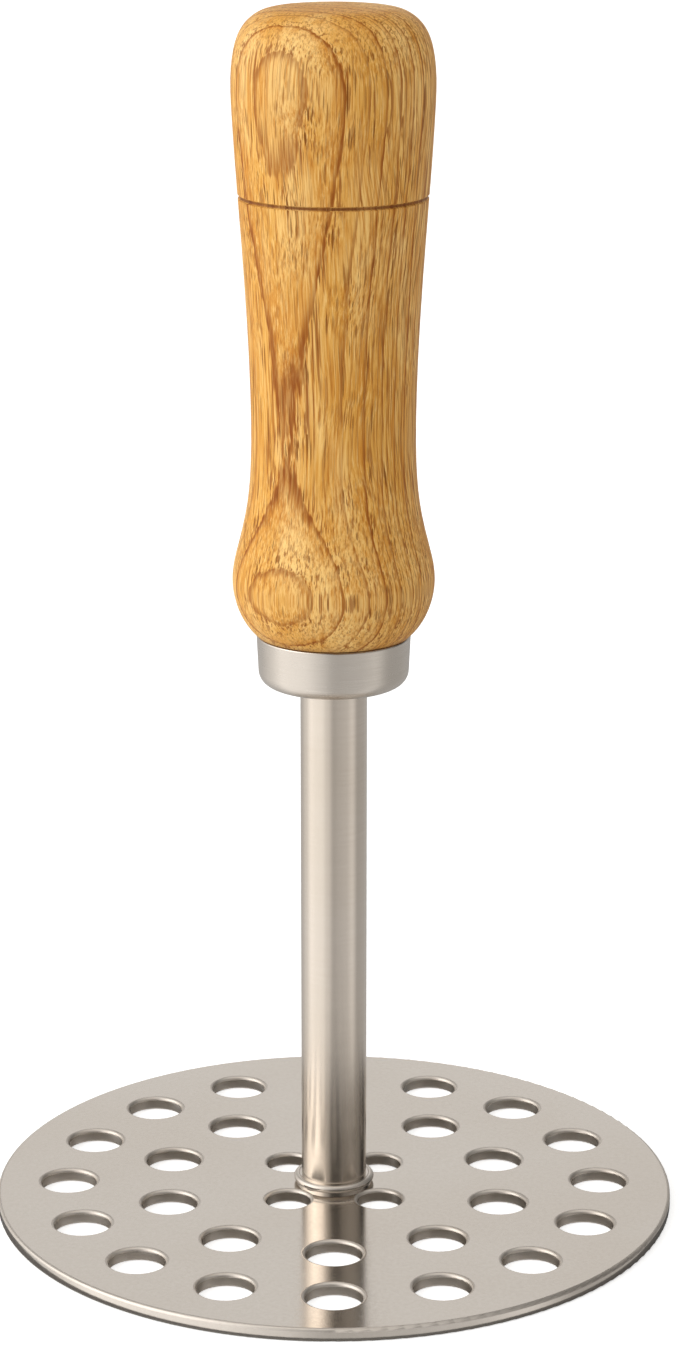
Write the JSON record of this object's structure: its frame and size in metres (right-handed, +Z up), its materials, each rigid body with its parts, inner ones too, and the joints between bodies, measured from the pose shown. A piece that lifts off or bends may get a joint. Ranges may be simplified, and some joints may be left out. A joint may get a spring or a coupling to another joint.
{
  "type": "potato masher",
  "caption": "Potato masher with a round perforated steel disc, a steel tube shaft, a steel ferrule cup and a turned wooden handle.",
  "frame": {"origin": "centre of the disc's underside, on the surface the masher stands on", "axes": "+Z up the shaft to the top of the handle, -Y towards the first hole of the outer and middle rings, +X to the right seen from the front"},
  "size_m": [0.125, 0.125, 0.2192],
  "materials": {
    "disc_steel": "satin stainless sheet, softly reflective",
    "tube_steel": "fine satin stainless tube",
    "cup_steel": "satin stainless, brushed round the cup",
    "turned_steel": "turned, unpolished",
    "fixing_steel": "plain stainless fixings",
    "insert_brass": "turned brass",
    "handle_oak": "sanded and oiled oak"
  },
  "bodies": {
    "root": {"masher_disc": "disc_steel", "foot_collar": "disc_steel", "shaft_tube": "tube_steel", "foot_plug": "turned_steel", "disc_screw": "fixing_steel", "top_plug": "turned_steel", "ferrule_cup": "cup_steel", "cup_washer": "fixing_steel", "cup_nut": "fixing_steel", "handle_stud": "fixing_steel", "threaded_insert": "insert_brass", "wooden_handle": "handle_oak"}
  },
  "joints": []
}
